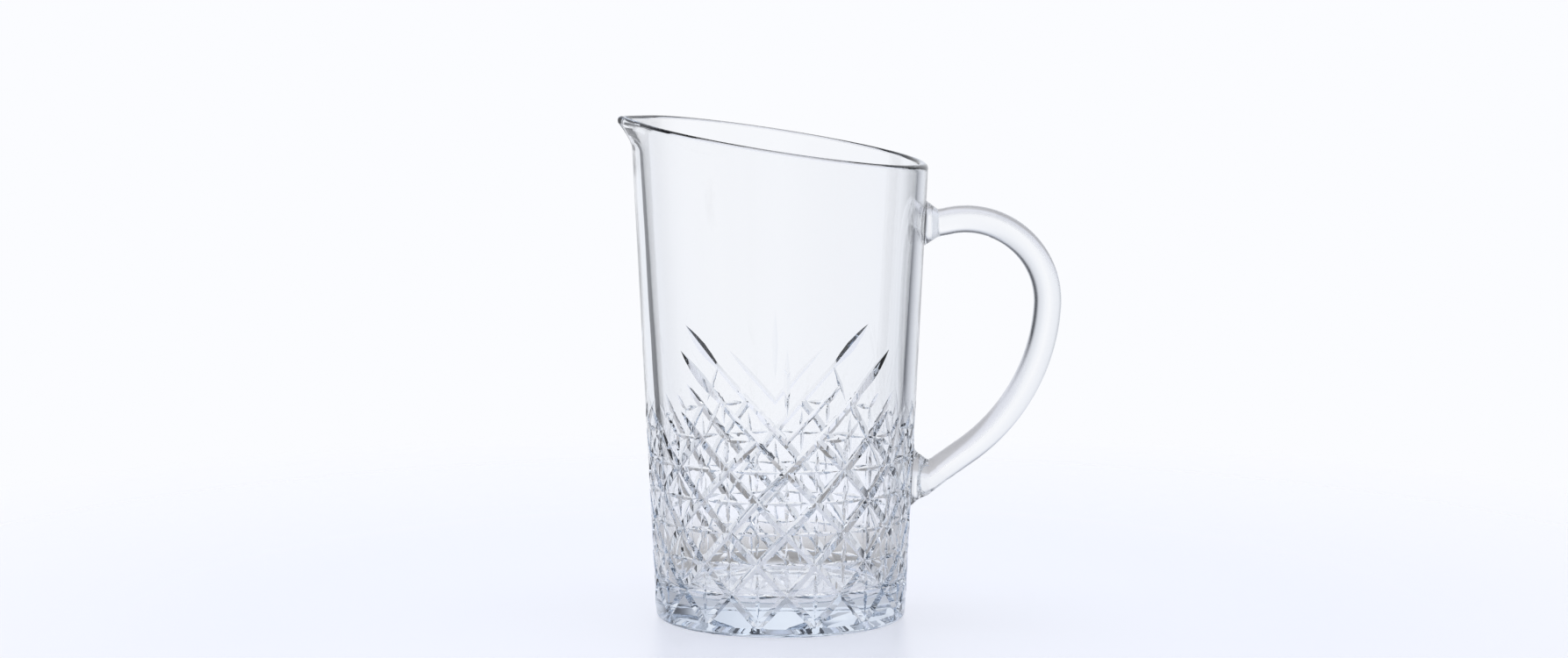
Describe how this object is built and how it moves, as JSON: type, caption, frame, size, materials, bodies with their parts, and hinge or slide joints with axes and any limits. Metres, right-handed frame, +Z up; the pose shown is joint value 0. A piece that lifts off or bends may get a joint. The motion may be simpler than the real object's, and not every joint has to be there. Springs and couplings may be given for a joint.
{
  "type": "mixing glass",
  "caption": "Clear pressed-glass mixing jug with a sloping mouth, a pointed pouring beak, a diamond-cut lower body and an applied round glass handle.",
  "frame": {"origin": "on the axis of the round body, in the plane of the standing ring", "axes": "+Z up along the body's axis, +X towards the handle, -X towards the beak, X-Z is the plane of symmetry"},
  "size_m": [0.1626, 0.1082, 0.1846],
  "materials": {
    "pressed_glass": "clear fire-polished soda-lime glass, pressed",
    "drawn_glass": "clear fire-polished soda-lime glass, drawn rod",
    "clear_bond": "clear cured acrylic adhesive film"
  },
  "bodies": {
    "root": {"vessel": "pressed_glass", "handle": "drawn_glass", "upper_bond": "clear_bond", "lower_bond": "clear_bond"}
  },
  "joints": []
}
